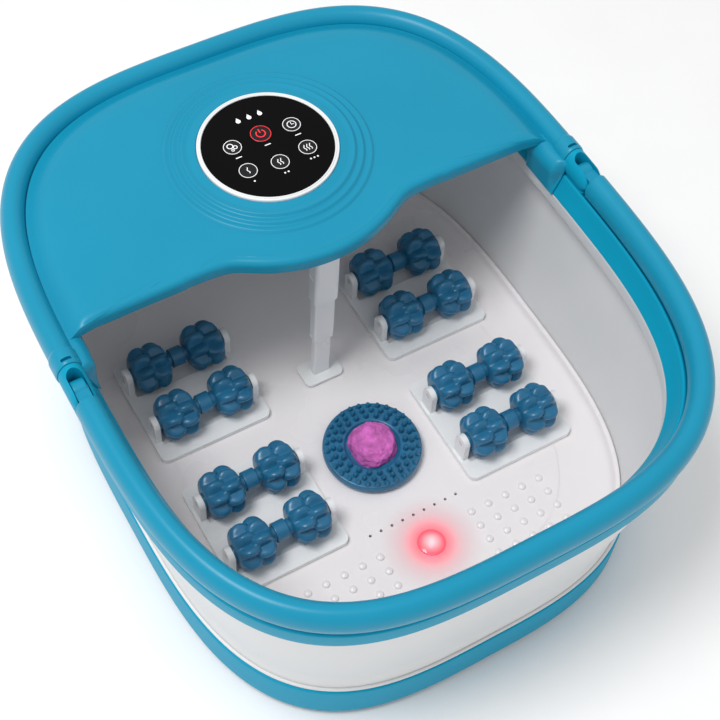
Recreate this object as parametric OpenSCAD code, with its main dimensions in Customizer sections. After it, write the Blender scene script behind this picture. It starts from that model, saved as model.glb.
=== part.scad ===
// Collapsible pedicure foot bath: base with heater and air pump, flexible wall,
// rim with carry handle, hooded control cover, telescoping cable post, lift-out
// massage rollers and a lift-out brush disc with a pumice stone.
// Millimetres, +Z up, front is -Y, origin on the floor under the middle.

/* [Outline] */
// Overall width across the handle
rim_w = 359; // [340:1:370]
// Overall length from front to rear
rim_l = 422; // [400:1:440]
// Squareness of the plan outline (2 is an ellipse)
corner_power = 3.25; // [2.6:0.05:4]
// Points round each plan outline
outline_points = 80; // [60:4:96]

/* [Heights] */
// Height of the middle of the handle tube
tube_z = 179; // [175:1:185]
// Top of the coloured base band
band_top_z = 36.5; // [34:0.5:38]
// Top of the tub floor
floor_z = 39; // [38:0.5:40]
// Bottom edge of the rim skirt
skirt_z = 153; // [150:1:156]
// Flat top of the cover
cover_z = 190; // [188:1:192]

/* [Base] */
// Width of the base band
base_w = 316; // [312:1:320]
// Length of the base band
base_l = 383.5; // [378:0.5:388]
// Thickness of the moulded shells
shell_t = 2.5; // [2:0.1:3]
// Height of the rubber feet below the bottom cover
foot_h = 4; // [3:0.5:5]
// Distance of the feet from the middle across
foot_x = 105; // [95:1:115]
// Distance of the feet from the middle along
foot_y = 130; // [120:1:140]

/* [Rim and handle] */
// Width of the handle tube
tube_w = 15.4; // [14:0.2:17]
// Height of the handle tube
tube_h = 21; // [18:0.5:21]
// Distance of the handle pivots behind the middle
pivot_y = 2.3; // [0:0.1:5]
// Diameter of the handle pivot pins
pivot_pin_d = 6; // [5:0.5:7]
// Width of the lugs that turn on the pivot pins
lug_w = 9; // [7:0.5:10]

/* [Cover and panel] */
// Straight front edge of the cover
cover_front_y = 36; // [33:1:38]
// Distance of the panel middle behind the middle
panel_y = 102.3; // [98:0.1:105]
// Radius of the bulge of the cover round the panel
bulge_r = 88; // [84:1:90]
// Outer radius of the white panel bezel
bezel_r = 45.5; // [43:0.5:47]
// Radius of the black panel lens
lens_r = 41.2; // [39:0.1:42]
// Radius of the round keys
key_r = 6.1; // [5.5:0.1:6.5]
// Radius of the power key
power_r = 6.9; // [6:0.1:7.2]

/* [Rollers] */
// Distance of the roller cassettes from the middle across
cassette_x = 85; // [83:0.5:86]
// Middle of the rear cassettes along
rear_cassette_y = 53; // [51:0.5:55]
// Middle of the front cassettes along
front_cassette_y = -53; // [-54:0.5:-50]
// Distance of each axle from the middle of its cassette
axle_off = 20.5; // [19:0.5:22]
// Height of the axles
axle_z = 57.5; // [57:0.5:60]
// Diameter of the axle pins
axle_d = 4; // [3.5:0.1:5]
// Outer radius of the massage wheels
wheel_r = 16; // [14:0.5:16.5]

/* [Brush disc] */
// Distance of the brush disc in front of the middle
disc_y = -42.5; // [-46:0.5:-40]
// Radius of the brush disc
disc_r = 33; // [30:0.5:34]

/* [Post] */
// Distance of the cable post behind the middle
post_y = 28.5; // [26:0.5:32]
// Width of the upper post stage
post_w = 17; // [16:0.5:20]
// Depth of the upper post stage
post_d = 11; // [10:0.5:14]

/* [Hidden] */

cyan = "#27a1c6";
white = "#f1f2f2";
grey = "#d3d5d6";
blue = "#2b6fa3";
eps = 0.01;
rim_hw = rim_w / 2;
rim_hl = rim_l / 2;
base_hw = base_w / 2;
base_hl = base_l / 2;
tube_bottom_z = tube_z - tube_h / 2;
// The ledge that the folded handle lies over
ledge_z = tube_bottom_z - 0.4;
// Middle of the handle tube, measured in from the rim outline
tube_inset = tube_w / 2;
pivot_x = rim_hw - tube_inset;
// Thickness of the tub floor
pan_t = 2.5;
// Foot of the flexible wall: inset of its inner support, and underside of its channel
clamp_inset = 6.2;
channel_z = 22.6;
// Underside of the closed control box, and thickness of the plate that closes it
liner_z = 178;
liner_t = 2;
// Heights of the panel parts
bezel_z = cover_z + 4;
lens_z = bezel_z + 0.8;
key_stroke = 0.7;
board_z = 184;
board_t = 1.6;
// Key places as parts of the lens radius, from the panel middle
side_key_x = 0.5 * lens_r;
high_key_y = 0.19 * lens_r;
power_key_y = 0.24 * lens_r;
low_key_y = 0.32 * lens_r;
mid_key_y = 0.385 * lens_r;
// Wall heights
wall_low_z = 26;
wall_bend_z = 150;
wall_high_z = 158;
// Seat of the brush disc on the floor, and the pegs that drop into blind holes in the floor
disc_peg_r = 6;
tray_peg_r = 2.5;
peg_depth = 1.4;
disc_floor_z = floor_z + 0.3;
stage_gap = 0.25;
stage_t = 1;
light_y = -118.5;
heater_y = 126;
probe_y = 160;
air_row_y = -96;
air_pitch = 8;
board_y = -142;
gland_z = 17;
pump_y = 5;
$fn = 48;

// ---- Outlines and shells ----

function power_of(v, n) = sign(v) * pow(abs(v), 2 / n);

// Rounded-square plan outline with half width hw and half length hl
function outline(hw, hl) = [
    for (i = [0 : outline_points - 1])
        let (a = 360 * i / outline_points)
        [hw * power_of(cos(a), corner_power), hl * power_of(sin(a), corner_power)]
];

// Outline measured in from the rim outline
function rim_outline(inset) = outline(rim_hw - inset, rim_hl - inset);

// Closed shell whose section is a list of [half width, half length, z]
module band(section) {
    rings = len(section);
    points = [for (s = section) for (p = outline(s[0], s[1])) [p[0], p[1], s[2]]];
    faces = [
        for (r = [0 : rings - 1])
            for (i = [0 : outline_points - 1])
                let (j = (i + 1) % outline_points, q = (r + 1) % rings)
                for (f = [
                    [r * outline_points + i, q * outline_points + i, r * outline_points + j],
                    [r * outline_points + j, q * outline_points + i, q * outline_points + j]
                ]) f
    ];
    polyhedron(points, faces);
}

// Closed shell of the rim, whose section is a list of [inset, z]
module rim_band(section) {
    band([for (s = section) [rim_hw - s[0], rim_hl - s[0], s[1]]]);
}

// Solid stack of outlines with flat ends, from a list of [inset, z]
module rim_stack(section) {
    rings = len(section);
    points = [for (s = section) for (p = rim_outline(s[0])) [p[0], p[1], s[1]]];
    sides = [
        for (r = [0 : rings - 2])
            for (i = [0 : outline_points - 1])
                let (j = (i + 1) % outline_points)
                for (f = [
                    [r * outline_points + i, (r + 1) * outline_points + i, r * outline_points + j],
                    [
                        r * outline_points + j,
                        (r + 1) * outline_points + i,
                        (r + 1) * outline_points + j
                    ]
                ]) f
    ];
    low_end = [for (i = [0 : outline_points - 1]) i];
    high_end = [for (i = [1 : outline_points]) rings * outline_points - i];
    polyhedron(points, concat([low_end], [high_end], sides));
}

// Upright ring between two plan outlines
module upright_ring(hw, hl, t, z0, z1) {
    translate([0, 0, z0])
        linear_extrude(z1 - z0)
            difference() {
                polygon(outline(hw, hl));
                polygon(outline(hw - t, hl - t));
            }
}

// Rectangle with round corners, centred
module round_rect(x, y, r) {
    square([x - 2 * r, y], center = true);
    square([x, y - 2 * r], center = true);
    for (sx = [-1, 1])
        for (sy = [-1, 1])
            translate([sx * (x / 2 - r), sy * (y / 2 - r)])
                circle(r);
}

module round_block(x, y, r, z0, z1) {
    translate([0, 0, z0])
        linear_extrude(z1 - z0)
            round_rect(x, y, r);
}

module rod(r, z0, z1) {
    translate([0, 0, z0])
        cylinder(h = z1 - z0, r = r);
}

// Rod along X, centred on the origin
module cross_rod(r, length) {
    rotate([0, 90, 0])
        cylinder(h = length, r = r, center = true);
}

module at_cassettes() {
    for (sx = [-1, 1])
        for (y = [rear_cassette_y, front_cassette_y])
            translate([sx * cassette_x, y, 0])
                children();
}

module at_feet() {
    for (sx = [-1, 1])
        for (sy = [-1, 1])
            translate([sx * foot_x, sy * foot_y, 0])
                children();
}

// Screw places between the bottom cover and the base shell
base_screw_places = [
    [-137, 118], [137, 118], [-137, -118], [137, -118], [-60, 178], [60, 178], [-60, -178], [60, -178]
];

module at_base_screws() {
    for (p = base_screw_places)
        translate([p[0], p[1], 0])
            children();
}

// Pan-head screw with its head down, top of the shank at z1
module up_screw(head_r, shank_r, z0, z1) {
    rod(head_r, z0, z0 + 2);
    rod(shank_r, z0 + 1, z1);
}

// ---- Base ----

module base_shell() {
    color(cyan)
        difference() {
            union() {
                upright_ring(base_hw, base_hl, shell_t, foot_h, band_top_z);
                // Channel that the foot of the flexible wall stands in
                upright_ring(base_hw - 1, base_hl - 1, 7.6, channel_z, wall_low_z - 0.4);
                upright_ring(
                    base_hw - clamp_inset,
                    base_hl - clamp_inset,
                    2.4,
                    channel_z,
                    floor_z - pan_t - 0.1
                );
                at_base_screws()
                    rod(4, foot_h + shell_t + 0.1, wall_low_z - 0.4);
            }
            at_base_screws()
                rod(1.6, 0, 20);
            // Cord inlet in the rear
            translate([0, base_hl - 6, gland_z])
                rotate([90, 0, 0])
                    cylinder(h = 30, r = 7.1, center = true);
        }
}

module bottom_cover() {
    color(cyan)
        difference() {
            translate([0, 0, foot_h])
                linear_extrude(shell_t)
                    polygon(outline(base_hw - shell_t - 0.2, base_hl - shell_t - 0.2));
            at_base_screws()
                rod(1.7, 0, 20);
            at_base_screws()
                rod(3.6, 0, foot_h + 1);
            at_feet()
                rod(4, 0, 20);
            // Cooling slots under the pump and the heater
            for (sx = [-1, 1])
                for (i = [-4 : 4])
                    translate([sx * 50, i * 8, foot_h - 1])
                        linear_extrude(shell_t + 2)
                            round_rect(36, 3, 1.4);
        }
}

module rubber_feet() {
    color("#3c3f42")
        at_feet() {
            rod(13, 0, foot_h);
            rod(4, foot_h - 1, foot_h + shell_t + 1);
            rod(5.2, foot_h + shell_t, foot_h + shell_t + 1.5);
        }
}

module base_screws() {
    color("#9ea3a6")
        at_base_screws()
            up_screw(3.2, 1.5, foot_h - 1, 18);
}

// Places of the pegs under one roller cassette
module at_pegs() {
    for (sx = [-1, 1])
        for (sy = [-1, 1])
            translate([sx * peg_x, sy * peg_y, 0])
                children();
}

module floor_pan() {
    color(white)
        difference() {
            union() {
                translate([0, 0, floor_z - pan_t])
                    linear_extrude(pan_t)
                        polygon(outline(base_hw - clamp_inset, base_hl - clamp_inset));
                // Acupressure nubs on the front of the floor
                for (sx = [-1, 1])
                    for (row = [0 : 3])
                        for (i = [0 : 4])
                            translate([sx * (34 + 13 * i), -112 - 11 * row, 0])
                                rod(2.4, floor_z - 1, floor_z + 2);
            }
            // Blind holes for the pegs of the cassettes and of the brush disc
            at_cassettes()
                at_pegs()
                    rod(tray_peg_r + 0.05, floor_z - peg_depth - 0.2, floor_z + 1);
            translate([0, disc_y, 0])
                rod(disc_peg_r + 0.1, floor_z - peg_depth - 0.2, floor_z + 1);
            translate([0, light_y, 0])
                rod(9.1, 20, 60);
            translate([0, probe_y, 0])
                rod(3.05, 20, 60);
            // Cable way through the post seat
            translate([0, post_y, 0])
                rod(2.5, 20, 60);
            // Air holes over the air channel
            for (i = [-4 : 4])
                translate([air_pitch * i, air_row_y, 0])
                    rod(1, 20, 60);
        }
}

// Ring that holds the foot of the flexible wall in its channel, over the edge of the floor
module wall_clamp() {
    color(white)
        upright_ring(base_hw - clamp_inset + 0.7, base_hl - clamp_inset + 0.7, 3.4, floor_z + 0.05, 47);
}

module heater_plate() {
    color("#b9bdc0")
        translate([0, heater_y, 0]) {
            round_block(120, 44, 6, 31.5, floor_z - pan_t);
            for (i = [-6 : 6])
                translate([8 * i, 0, 26])
                    cube([1.6, 40, 12], center = true);
        }
}

module temperature_probe() {
    color("#c9ccce")
        translate([0, probe_y, 0]) {
            rod(3, 28, floor_z + 3);
            rod(5, floor_z - pan_t - 2, floor_z - pan_t);
        }
}

module air_pump() {
    color("#2d3033")
        translate([0, pump_y, 0]) {
            round_block(60, 44, 5, 9, 29);
            translate([0, -22, 19])
                rotate([90, 0, 0])
                    cylinder(h = 12, r = 2.6);
        }
}

module pump_mounts() {
    color("#4a4d50")
        for (sx = [-1, 1])
            for (sy = [-1, 1])
                translate([sx * 20, pump_y + sy * 13, 0])
                    rod(4, foot_h + shell_t, 9);
}

// Hose from the pump nozzle to the air channel
module air_hose() {
    color("#e2e6e8")
        difference() {
            union() {
                translate([0, -19.5, 19])
                    rotate([90, 0, 0])
                        cylinder(h = 40, r = 4);
            }
            translate([0, -18, 19])
                rotate([90, 0, 0])
                    cylinder(h = 44, r = 2.65);
        }
}

// Closed duct under the floor that feeds the air holes
module air_channel() {
    color("#dfe3e5")
        translate([0, air_row_y, 0])
            difference() {
                union() {
                    round_block(78, 12, 4, 26, floor_z - pan_t);
                    translate([0, 36.4, 19])
                        rotate([90, 0, 0])
                            cylinder(h = 36.4, r = 2.6);
                    round_block(12, 12, 3, 14, 27);
                }
                round_block(74, 8, 3, 28, 60);
                rod(1.6, 19, 40);
                translate([0, 40, 19])
                    rotate([90, 0, 0])
                        cylinder(h = 40, r = 1.6);
            }
}

module power_board() {
    color("#2f7a45")
        translate([0, board_y, 0])
            round_block(100, 46, 3, 14, 15.6);
    color("#1f2224")
        translate([0, board_y, 0]) {
            translate([-28, 0, 20])
                cube([24, 18, 9], center = true);
            translate([4, 8, 19])
                cube([16, 14, 7], center = true);
            for (x = [24, 38])
                translate([x, -6, 0])
                    rod(5, 15, 26);
        }
}

module light_board() {
    color("#2f7a45")
        translate([0, light_y, 0])
            rod(8, 31, 32.4);
    color("#f3e9e4")
        translate([0, light_y, 0])
            rod(2.5, 32, 35);
}

module light_lens() {
    color("#e0242f")
        translate([0, light_y, 0]) {
            rod(9, floor_z - pan_t, floor_z + 0.6);
            rod(10.5, floor_z - pan_t - 1.2, floor_z - pan_t);
            intersection() {
                translate([0, 0, floor_z - 24])
                    sphere(r = 26);
                rod(9, floor_z, floor_z + 4);
            }
        }
}

module cord_gland() {
    color("#3c3f42")
        translate([0, base_hl, gland_z])
            rotate([90, 0, 0])
                difference() {
                    union() {
                        translate([0, 0, -2.6])
                            cylinder(h = 16, r = 7);
                        translate([0, 0, -2.6])
                            cylinder(h = 2.5, r = 9.5);
                    }
                    translate([0, 0, -20])
                        cylinder(h = 40, r = 3.6);
                }
}

module post_stage(w, d, z0, z1) {
    translate([0, post_y, 0])
        difference() {
            round_block(w, d, min(w, d) * 0.22, z0, z1);
            round_block(w - 2 * stage_t, d - 2 * stage_t, min(w, d) * 0.12, z0 - 1, z1 + 1);
        }
}

stage_step = 2 * (stage_t + stage_gap);

module post_lower() {
    color(white) {
        post_stage(post_w - 2 * stage_step, post_d - 2 * stage_step, floor_z + 1, 88);
        translate([0, post_y, 0])
            difference() {
                round_block(28, 19, 4, floor_z + 1, floor_z + 3);
                rod(2.6, floor_z, floor_z + 20);
            }
    }
}

module post_gasket() {
    color("#8b8f92")
        translate([0, post_y, 0])
            difference() {
                round_block(27, 18, 4, floor_z, floor_z + 1);
                rod(2.6, floor_z - 1, floor_z + 20);
            }
}

module post_middle() {
    color(white)
        post_stage(post_w - stage_step, post_d - stage_step, 83, 134);
}

module post_upper() {
    color(white) {
        post_stage(post_w, post_d, 126, liner_z - 1);
        // Flange under the control box
        translate([0, post_y + 4, 0])
            difference() {
                round_block(30, 24, 4, liner_z - 3, liner_z);
                translate([0, -4, 0])
                    round_block(post_w - 2 * stage_t, post_d - 2 * stage_t, 1, 100, 200);
            }
    }
}

// ---- Flexible wall ----

module soft_wall() {
    color(white)
        band([
            [base_hw - 2.9, base_hl - 2.9, wall_low_z],
            [base_hw - 2.9, base_hl - 2.9, band_top_z],
            [rim_hw - 7, rim_hl - 7, wall_bend_z],
            [rim_hw - 7, rim_hl - 7, wall_high_z],
            [rim_hw - 10, rim_hl - 10, wall_high_z],
            [rim_hw - 10, rim_hl - 10, wall_bend_z],
            [base_hw - 5.4, base_hl - 5.4, band_top_z],
            [base_hw - 5.4, base_hl - 5.4, wall_low_z]
        ]);
}

// ---- Rim ----

// Fork round each handle lug: radius of its front, reach behind the pivot, and its floor
fork_r = 11.2;
fork_back = 12.3;
fork_floor = 2;
cover_screw_angles = [20, 45, 70, 110, 135, 160];

function on_outline(inset, a) = [
    (rim_hw - inset) * power_of(cos(a), corner_power),
    (rim_hl - inset) * power_of(sin(a), corner_power)
];

module at_cover_screws() {
    for (a = cover_screw_angles)
        translate(on_outline(10, a))
            children();
}

// Elliptical bar along Y, as thick as the handle tube
module tube_bar(y0, y1) {
    translate([0, y1, tube_z])
        rotate([90, 0, 0])
            linear_extrude(y1 - y0)
                scale([tube_w / tube_h, 1])
                    circle(tube_h / 2);
}

// Forks that hold the handle lugs, rounded at the front about the pivot axis
module handle_forks() {
    for (sx = [-1, 1])
        translate([sx * pivot_x, 0, 0])
            difference() {
                union() {
                    intersection() {
                        tube_bar(pivot_y - fork_r, pivot_y + fork_back);
                        union() {
                            translate([0, pivot_y, tube_z])
                                cross_rod(fork_r, tube_w);
                            translate([0, pivot_y + fork_back / 2, tube_z])
                                cube([tube_w, fork_back, tube_h], center = true);
                        }
                    }
                    translate([0, pivot_y, (tube_z + ledge_z) / 2 - 1])
                        cube([12, 18, tube_z - ledge_z + 2], center = true);
                }
                translate([0, pivot_y - 2, tube_z])
                    cube([lug_w + 0.6, 22, tube_h - 2 * fork_floor], center = true);
                translate([0, pivot_y - 2, tube_z + tube_h / 2])
                    cube([lug_w + 0.6, 22, tube_h], center = true);
            }
}

module rim_frame() {
    color(cyan)
        difference() {
            union() {
                rim_band([
                    [3.5, skirt_z],
                    [2.6, ledge_z - 1],
                    [3.6, ledge_z],
                    [16.2, ledge_z],
                    [21, 156.5],
                    [18.5, 156.5],
                    [14.8, ledge_z - 2.4],
                    [5.2, ledge_z - 2.4],
                    [6, skirt_z]
                ]);
                handle_forks();
            }
            translate([0, pivot_y, tube_z])
                cross_rod(pivot_pin_d / 2, 2 * rim_w);
            at_cover_screws()
                rod(1.8, 150, 180);
        }
}

module wall_ring() {
    color(grey)
        rim_band([
            [18.8, 156.4],
            [21.2, 156],
            [21.4, 143.5],
            [14.2, 139],
            [13.4, 141],
            [10.7, 150],
            [12, 150],
            [18.6, 146.5]
        ]);
}

// Plan of the cover, moved back by an inset from its front edge
module cover_plan(inset) {
    intersection() {
        polygon(outline(rim_hw, rim_hl));
        union() {
            translate([-rim_w, cover_front_y + inset])
                square([2 * rim_w, rim_l]);
            translate([0, panel_y])
                circle(bulge_r - inset);
        }
    }
}

// Front ends of the cover arms, clear of the turning handle
arm_front_y = pivot_y + 12.7;
// Lower edge of the front lip of the cover
lip_z = liner_z + liner_t;

// Arms of the cover bead that reach forward to the handle pivots
module cover_arms() {
    for (sx = [-1, 1])
        translate([sx * (rim_hw - tube_inset), (cover_front_y + arm_front_y) / 2])
            square([tube_w + 1.4, cover_front_y - arm_front_y], center = true);
}

cover_section = [
    [1.2, tube_bottom_z],
    [0.2, tube_z],
    [1.2, tube_z + 5],
    [3.5, tube_z + 9],
    [7.7, cover_z],
    [12, cover_z - 1.6],
    [15.5, cover_z - 5],
    [17.5, cover_z - 6],
    [21, cover_z - 4.4],
    [27, cover_z - 1.2],
    [36, cover_z]
];

module cover() {
    color(cyan)
        difference() {
            union() {
                difference() {
                    intersection() {
                        rim_stack(cover_section);
                        translate([0, 0, ledge_z])
                            linear_extrude(40)
                                union() {
                                    cover_plan(0);
                                    cover_arms();
                                }
                    }
                    // Hollow of the control box
                    intersection() {
                        rim_stack([
                            [19, ledge_z - 1],
                            [19, cover_z - 7.6],
                            [27, cover_z - 4],
                            [36, cover_z - shell_t]
                        ]);
                        translate([0, 0, ledge_z - 1])
                            linear_extrude(40)
                                cover_plan(shell_t);
                    }
                    // The front lip stops above the tub
                    translate([-rim_hw + 19, -20, ledge_z - 1])
                        cube([rim_w - 38, 60, lip_z - ledge_z + 1]);
                }
                // Stepped rings round the panel
                translate([0, panel_y, cover_z - shell_t + eps])
                    rotate_extrude()
                        polygon([
                            [46, 0], [64.5, 0], [64.5, 3], [62, 3.3], [60.3, 3.3],
                            [60.3, 3.9], [57, 4.2], [55.5, 4.2], [55.5, 4.8], [52, 5.2],
                            [50, 5.6], [46, 5.6]
                        ]);
            }
            translate([0, panel_y, 0])
                rod(bezel_r + 0.2, 160, 220);
            at_cover_screws()
                rod(1.5, 160, 184);
        }
}

module cover_liner() {
    color(white)
        difference() {
            union() {
                translate([0, 0, liner_z])
                    linear_extrude(liner_t)
                        intersection() {
                            polygon(rim_outline(19.6));
                            translate([-rim_w, cover_front_y + 3])
                                square([2 * rim_w, rim_l]);
                        }
                translate([0, 0, liner_z])
                    linear_extrude(liner_t)
                        translate([0, panel_y])
                            circle(bulge_r - 3);
            }
            translate([0, post_y, 0])
                round_block(post_w - 2 * stage_t, post_d - 2 * stage_t, 1, 100, 200);
        }
}

module cover_screws() {
    color("#9ea3a6")
        at_cover_screws()
            up_screw(3, 1.4, ledge_z - 4.4, 180);
}

module panel_bezel() {
    color(white)
        translate([0, panel_y, 0])
            rotate_extrude()
                polygon([
                    [lens_r + 0.1, board_z + board_t],
                    [bezel_r, board_z + board_t],
                    [bezel_r, bezel_z + 0.4],
                    [bezel_r - 1.2, bezel_z + 1.2],
                    [lens_r + 1, bezel_z + 1.2],
                    [lens_r + 0.1, bezel_z + 0.6]
                ]);
}

// Key places and radii in the order of the key modules
key_places = [
    [-side_key_x, high_key_y, key_r],
    [0, power_key_y, power_r],
    [side_key_x, high_key_y, key_r],
    [-side_key_x, -low_key_y, key_r],
    [0, -mid_key_y, key_r],
    [side_key_x, -low_key_y, key_r]
];

module panel_lens() {
    color("#0b0c0d")
        translate([0, panel_y, 0])
            difference() {
                rod(lens_r, lens_z - 2, lens_z);
                for (k = key_places)
                    translate([k[0], k[1], 0])
                        rod(k[2] + 0.2, 180, 200);
            }
}

module key(k) {
    color("#1d1f21")
        translate([k[0], panel_y + k[1], 0]) {
            rod(k[2], lens_z - 3, lens_z + key_stroke);
            // Flange that keeps the key behind the lens
            rod(k[2] + 1, lens_z - 3.2, lens_z - 2.2);
            rod(2, lens_z - 5.2 + key_stroke, lens_z - 3);
        }
}

module key_bubble() { key(key_places[0]); }
module key_power() { key(key_places[1]); }
module key_timer() { key(key_places[2]); }
module key_heat_low() { key(key_places[3]); }
module key_heat_mid() { key(key_places[4]); }
module key_heat_high() { key(key_places[5]); }

module control_board() {
    color("#2f7a45")
        translate([0, panel_y, 0])
            rod(bezel_r, board_z, board_z + board_t);
    color("#1f2224")
        translate([0, panel_y, 0]) {
            for (k = key_places)
                translate([k[0], k[1], 0])
                    rod(2.4, board_z + 1, lens_z - 5.4);
            translate([0, -6, board_z - 1.5])
                cube([14, 10, 4], center = true);
        }
}

module pivot_pins() {
    color("#b4b8bb")
        for (sx = [-1, 1])
            translate([sx * pivot_x, pivot_y, tube_z])
                cross_rod(pivot_pin_d / 2, tube_w - 1.6);
}

// ---- Carry handle ----

handle_steps = 56;
ring_points = 16;
// Where the full tube starts, in front of the pivots
tube_start = 11.8;
end_chamfer = 0.7;

// Plan angle at which the tube middle line reaches a distance in front of the pivots
function angle_at(reach) =
    180 + asin(pow((reach - pivot_y) / (rim_hl - tube_inset), corner_power / 2));
start_angle = angle_at(tube_start + end_chamfer);
end_angle = 540 - start_angle;

// One ring of the handle tube at a plan angle, scaled at its rounded ends
function tube_ring(a, size) =
    let (
        c = on_outline(tube_inset, a),
        d0 = on_outline(tube_inset, a - 0.02),
        d1 = on_outline(tube_inset, a + 0.02),
        along = (d1 - d0) / norm(d1 - d0),
        out = [along[1], -along[0]]
    )
    [
        for (i = [0 : ring_points - 1])
            let (b = 360 * i / ring_points)
            [
                c[0] + out[0] * cos(b) * size * tube_w / 2,
                c[1] + out[1] * cos(b) * size * tube_w / 2,
                tube_z + sin(b) * size * tube_h / 2
            ]
    ];

module handle_tube() {
    span = end_angle - start_angle;
    rings = concat(
        [tube_ring(angle_at(tube_start), 0.92)],
        [for (i = [0 : handle_steps]) tube_ring(start_angle + span * i / handle_steps, 1)],
        [tube_ring(540 - angle_at(tube_start), 0.92)]
    );
    count = len(rings);
    points = [for (r = rings) each r];
    sides = [
        for (r = [0 : count - 2])
            for (i = [0 : ring_points - 1])
                let (j = (i + 1) % ring_points)
                for (f = [
                    [r * ring_points + i, r * ring_points + j, (r + 1) * ring_points + i],
                    [r * ring_points + j, (r + 1) * ring_points + j, (r + 1) * ring_points + i]
                ]) f
    ];
    low_end = [for (i = [1 : ring_points]) ring_points - i];
    high_end = [for (i = [0 : ring_points - 1]) (count - 1) * ring_points + i];
    polyhedron(points, concat([low_end], [high_end], sides));
}

module handle() {
    color(cyan)
        difference() {
            union() {
                handle_tube();
                for (sx = [-1, 1])
                    translate([sx * pivot_x, pivot_y, tube_z]) {
                        cross_rod(8, lug_w);
                        translate([0, -tube_start / 2 - 1, 0])
                            cube([lug_w, tube_start + 4, 12], center = true);
                    }
            }
            translate([0, pivot_y, tube_z])
                cross_rod(pivot_pin_d / 2 + 0.06, 2 * rim_w);
        }
}

// ---- Brush disc and stone ----

module brush_disc() {
    color(blue)
        translate([0, disc_y, 0])
            difference() {
                union() {
                    rod(disc_peg_r, floor_z - peg_depth, disc_floor_z + 1);
                    rod(disc_r - 2, disc_floor_z, disc_floor_z + 4);
                    rod(disc_r, disc_floor_z + 3, disc_floor_z + 8);
                    for (i = [0 : 23])
                        rotate(i * 15)
                            translate([disc_r - 3.4, 0, 0])
                                rod(2, disc_floor_z + 7, disc_floor_z + 12);
                    for (i = [0 : 17])
                        rotate(i * 20 + 10)
                            translate([disc_r - 9.4, 0, 0])
                                rod(2, disc_floor_z + 7, disc_floor_z + 13);
                }
                rod(18, disc_floor_z + 6, disc_floor_z + 20);
                rod(4.1, floor_z + 5.7, disc_floor_z + 20);
            }
}

module pumice_stone() {
    color("#c850af")
        translate([0, disc_y, 0])
            difference() {
                union() {
                    intersection() {
                        rod(17, disc_floor_z + 6.3, disc_floor_z + 22);
                        translate([0, 0, disc_floor_z + 2])
                            sphere(r = 18.5);
                    }
                    rod(4, floor_z + 5.8, disc_floor_z + 7);
                }
                // Worn hollows in the top of the stone
                for (i = [0 : 4])
                    rotate(i * 72)
                        translate([9, 0, disc_floor_z + 22.5])
                            sphere(r = 5);
            }
}

// ---- Roller cassettes ----

wheel_w = 24;
wheel_x = 19.5;
tray_x = 79;
tray_y = 83;
tray_z = floor_z + 0.3;
tray_top_z = floor_z + 4;
peg_x = tray_x / 2 - 8;
peg_y = tray_y / 2 - 8;
ear_x = 35.5;

module cassette_tray() {
    difference() {
        union() {
            round_block(tray_x, tray_y, 5, tray_z, tray_top_z);
            at_pegs()
                rod(tray_peg_r, floor_z - peg_depth, tray_z + 1);
            for (sx = [-1, 1])
                for (sy = [-1, 1])
                    translate([sx * ear_x, sy * axle_off, 0]) {
                        translate([0, 0, axle_z])
                            cross_rod(5.5, 4);
                        translate([0, 0, (axle_z + tray_z) / 2])
                            cube([4, 11, axle_z - tray_z], center = true);
                    }
        }
        // Wells that the rollers turn in
        for (sy = [-1, 1])
            translate([0, sy * axle_off, axle_z])
                cross_rod(wheel_r + 0.9, 2 * ear_x - 4.6);
        for (sy = [-1, 1])
            translate([0, sy * axle_off, axle_z])
                cross_rod(axle_d / 2, 100);
    }
}

module cassette_axles() {
    for (sy = [-1, 1])
        translate([0, sy * axle_off, axle_z])
            cross_rod(axle_d / 2, 2 * ear_x + 4);
}

// Two lobed wheels on one sleeve
module roller() {
    difference() {
        union() {
            cross_rod(5, 2 * ear_x - 4.6);
            for (sx = [-1, 1])
                translate([sx * wheel_x, 0, 0]) {
                    cross_rod(wheel_r - 3.4, wheel_w);
                    cross_rod(wheel_r - 5.4, wheel_w + 3);
                    for (i = [0 : 7])
                        rotate([45 * i, 0, 0])
                            translate([(i % 2 - 0.5) * 5, 0, wheel_r - 3.6])
                                cross_rod(3.6, wheel_w - 8);
                }
        }
        cross_rod(axle_d / 2 + 0.05, 200);
    }
}

module place(sx, y) {
    translate([sx * cassette_x, y, 0])
        children();
}

module place_roller(sx, y, sy) {
    translate([sx * cassette_x, y + sy * axle_off, axle_z])
        children();
}

module cassette_rear_left() { color(white) place(-1, rear_cassette_y) cassette_tray(); }
module cassette_rear_right() { color(white) place(1, rear_cassette_y) cassette_tray(); }
module cassette_front_left() { color(white) place(-1, front_cassette_y) cassette_tray(); }
module cassette_front_right() { color(white) place(1, front_cassette_y) cassette_tray(); }

module axles_rear_left() { color("#b4b8bb") place(-1, rear_cassette_y) cassette_axles(); }
module axles_rear_right() { color("#b4b8bb") place(1, rear_cassette_y) cassette_axles(); }
module axles_front_left() { color("#b4b8bb") place(-1, front_cassette_y) cassette_axles(); }
module axles_front_right() { color("#b4b8bb") place(1, front_cassette_y) cassette_axles(); }

module roller_rear_left_a() { color(blue) place_roller(-1, rear_cassette_y, 1) roller(); }
module roller_rear_left_b() { color(blue) place_roller(-1, rear_cassette_y, -1) roller(); }
module roller_rear_right_a() { color(blue) place_roller(1, rear_cassette_y, 1) roller(); }
module roller_rear_right_b() { color(blue) place_roller(1, rear_cassette_y, -1) roller(); }
module roller_front_left_a() { color(blue) place_roller(-1, front_cassette_y, 1) roller(); }
module roller_front_left_b() { color(blue) place_roller(-1, front_cassette_y, -1) roller(); }
module roller_front_right_a() { color(blue) place_roller(1, front_cassette_y, 1) roller(); }
module roller_front_right_b() { color(blue) place_roller(1, front_cassette_y, -1) roller(); }

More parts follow.
